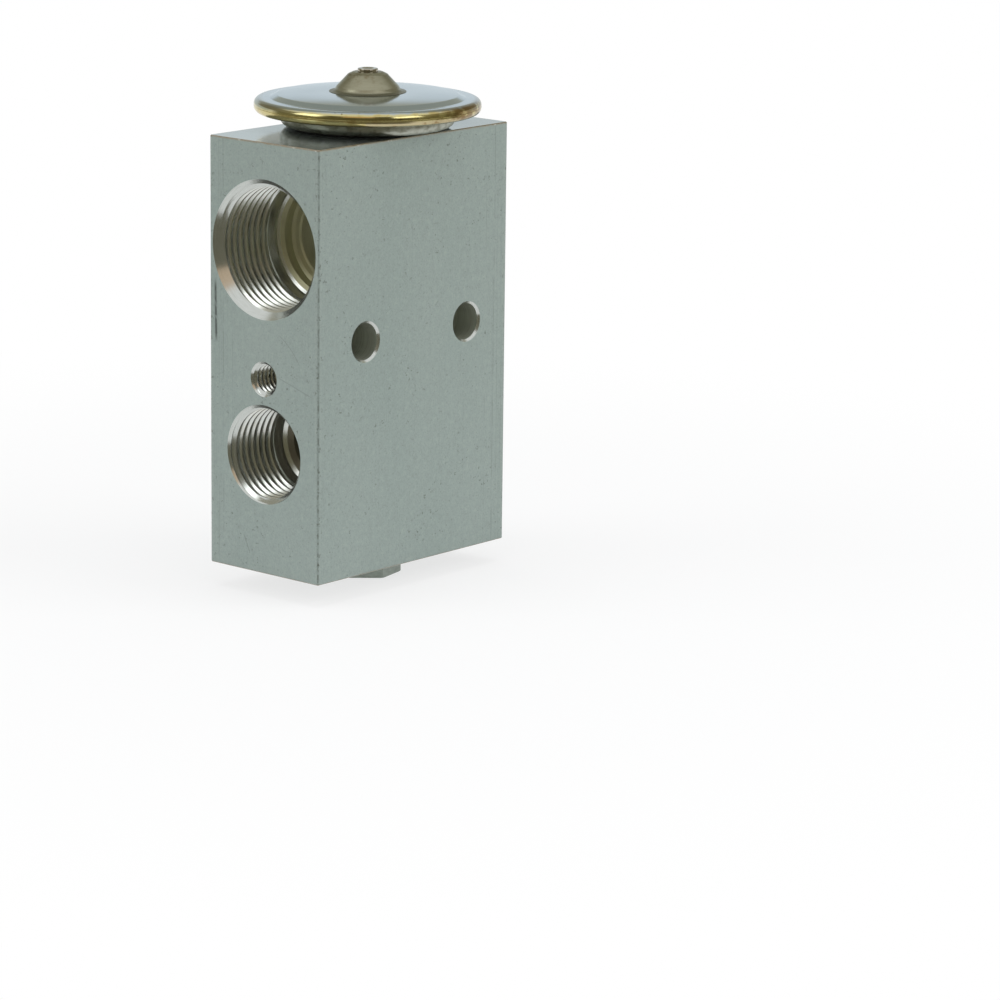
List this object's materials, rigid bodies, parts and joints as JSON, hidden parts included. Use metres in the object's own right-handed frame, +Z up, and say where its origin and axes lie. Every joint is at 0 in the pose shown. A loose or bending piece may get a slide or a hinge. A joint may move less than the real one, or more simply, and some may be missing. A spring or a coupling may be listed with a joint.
{
  "type": "block expansion valve",
  "caption": "Block-type refrigerant expansion valve: drilled aluminium block with threaded ports, a welded diaphragm element on top and a hexagon adjuster below.",
  "frame": {"origin": "under the middle of the block, at the underside of the hexagon adjusting nut", "axes": "+Z up along the valve mechanism, +Y along the ports from the front port face to the rear port face, X across the block's thickness"},
  "size_m": [0.0414, 0.0508, 0.0942],
  "materials": {
    "block": "matte, extruded and machined",
    "cover": "bright, yellow-tinted rim",
    "dome": "satin, brown-grey",
    "plug": "bright",
    "base": "bright, yellow-tinted rim",
    "gasket": "matte",
    "diaphragm": "satin",
    "stopper": "satin",
    "rod": "turned",
    "seal": "matte",
    "retainer": "satin",
    "pin": "ground",
    "seat": "ground",
    "ball": "polished",
    "carrier": "turned",
    "clip": "satin",
    "spring": "satin",
    "spring_seat": "satin",
    "nut": "turned, hexagon milled"
  },
  "bodies": {
    "valve_body": {"valve_block": "block", "element_cover": "cover", "charge_dome": "dome", "fill_plug": "plug", "element_base": "base", "element_gasket": "gasket", "rod_seal": "seal", "rod_seal_retainer": "retainer", "orifice_seat": "seat"},
    "valve_stem": {"diaphragm": "diaphragm", "diaphragm_stopper": "stopper", "sensing_rod": "rod", "push_pin": "pin", "valve_ball": "ball", "ball_carrier": "carrier", "carrier_clip": "clip", "coil_spring": "spring"},
    "adjuster_slide": {"spring_seat": "spring_seat", "adjuster_seal": "seal"},
    "adjuster": {"adjusting_nut": "nut"}
  },
  "joints": [
    {"name": "valve_stroke", "type": "slide", "parent": "valve_body", "child": "valve_stem", "axis": [0, 0, -1], "range_m": [0, 0.0007], "stiffness_N_per_m": 5000, "springref_m": -0.002, "deforming": ["coil_spring", "diaphragm"]},
    {"name": "adjuster_travel", "type": "slide", "parent": "valve_body", "child": "adjuster_slide", "axis": [0, 0, 1], "range_m": [-0.001, 0.001], "deforming": ["coil_spring"]},
    {"name": "adjuster_turn", "type": "hinge", "parent": "adjuster_slide", "child": "adjuster", "pos_m": [0, 0.0019, 0], "axis": [0, 0, 1], "range_deg": [-360, 360]}
  ],
  "couplings": [
    {"joint": "adjuster_turn", "follows": "adjuster_travel", "rad_per_m": 6283.2}
  ]
}
